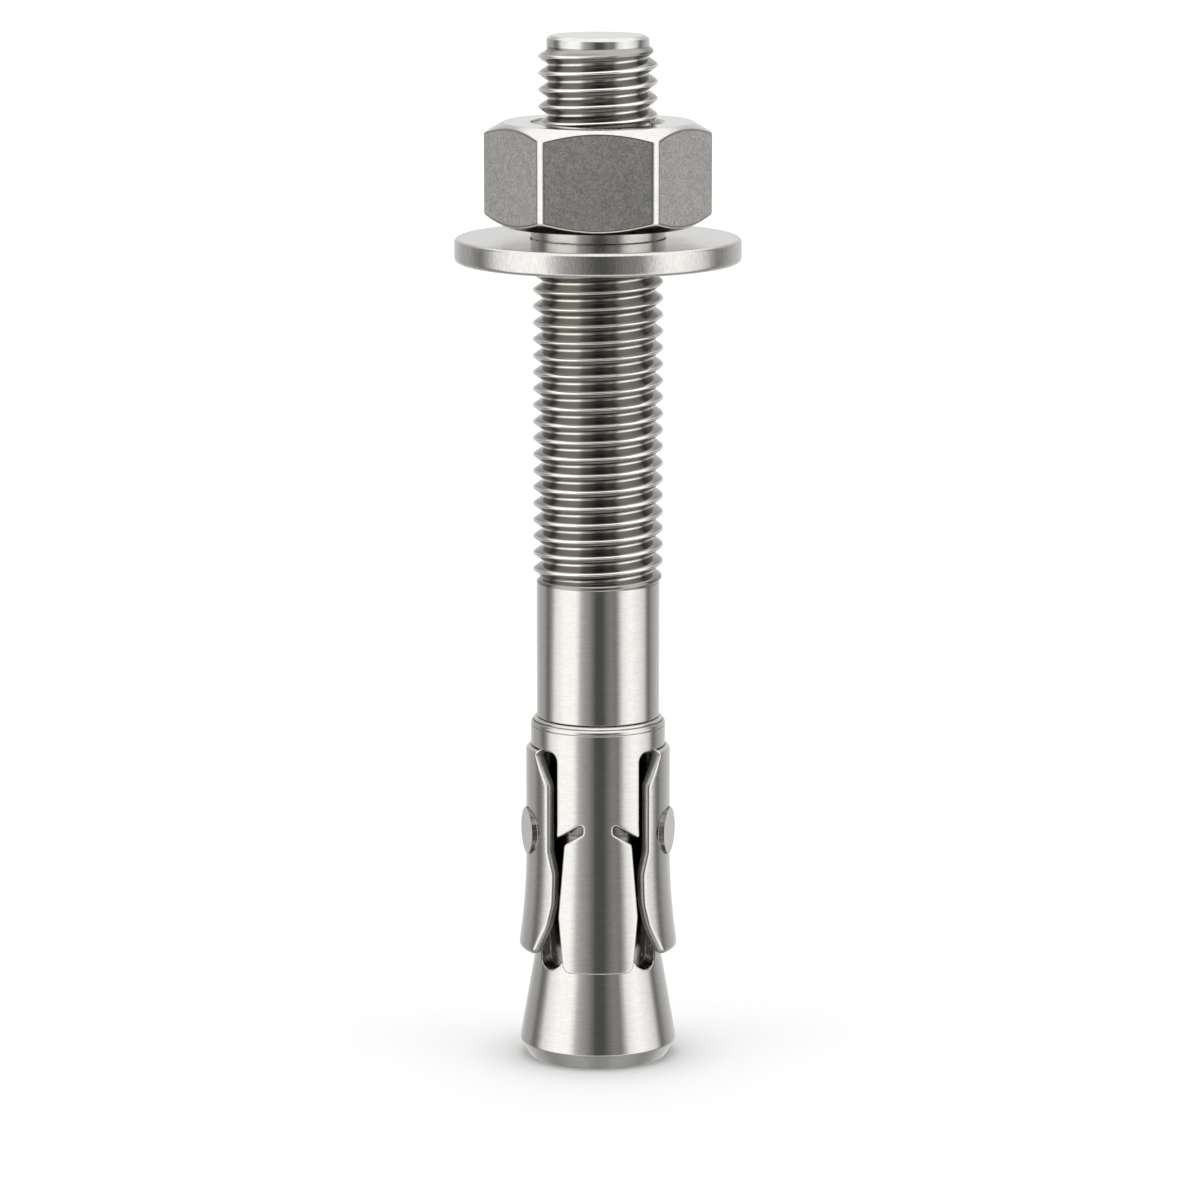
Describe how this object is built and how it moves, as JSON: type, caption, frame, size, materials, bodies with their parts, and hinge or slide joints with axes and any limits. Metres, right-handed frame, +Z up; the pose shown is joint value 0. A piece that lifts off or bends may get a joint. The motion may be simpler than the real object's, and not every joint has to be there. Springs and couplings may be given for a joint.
{
  "type": "wedge anchor",
  "caption": "Stainless steel wedge anchor bolt with a threaded stud, hex nut, flat washer, pressed expansion clip and a tapered cone end.",
  "frame": {"origin": "centre of the flat end of the cone, the face that the anchor stands on", "axes": "+Z up the axis from the cone to the threaded end, -Y to the front, between the two side leaves of the clip"},
  "size_m": [0.0344, 0.0344, 0.125],
  "materials": {
    "turned_steel": "bright turned stainless steel, finely brushed round the axis",
    "pressed_steel": "bright pressed stainless steel sheet with polished edges",
    "nut_steel": "satin stainless steel flats with fine scratches and bright bevels",
    "washer_steel": "bright stainless steel, rim brushed across"
  },
  "bodies": {
    "stud": {"anchor_stud": "turned_steel"},
    "clip": {"expansion_clip": "pressed_steel"},
    "washer": {"flat_washer": "washer_steel"},
    "nut": {"hex_nut": "nut_steel"}
  },
  "joints": [
    {"name": "clip_turn", "type": "hinge", "parent": "stud", "child": "clip", "pos_m": [0, 0, 0.0405], "axis": [0, 0, 1], "continuous": true},
    {"name": "washer_slide", "type": "slide", "parent": "stud", "child": "washer", "axis": [0, 0, 1], "range_m": [-0.0371, 0.0101]},
    {"name": "nut_turn", "type": "hinge", "parent": "washer", "child": "nut", "pos_m": [0, 0, 0.1085], "axis": [0, 0, 1], "range_deg": [-6660, 1800]}
  ],
  "couplings": [
    {"joint": "washer_slide", "follows": "nut_turn", "m_per_rad": 0.00031831}
  ]
}
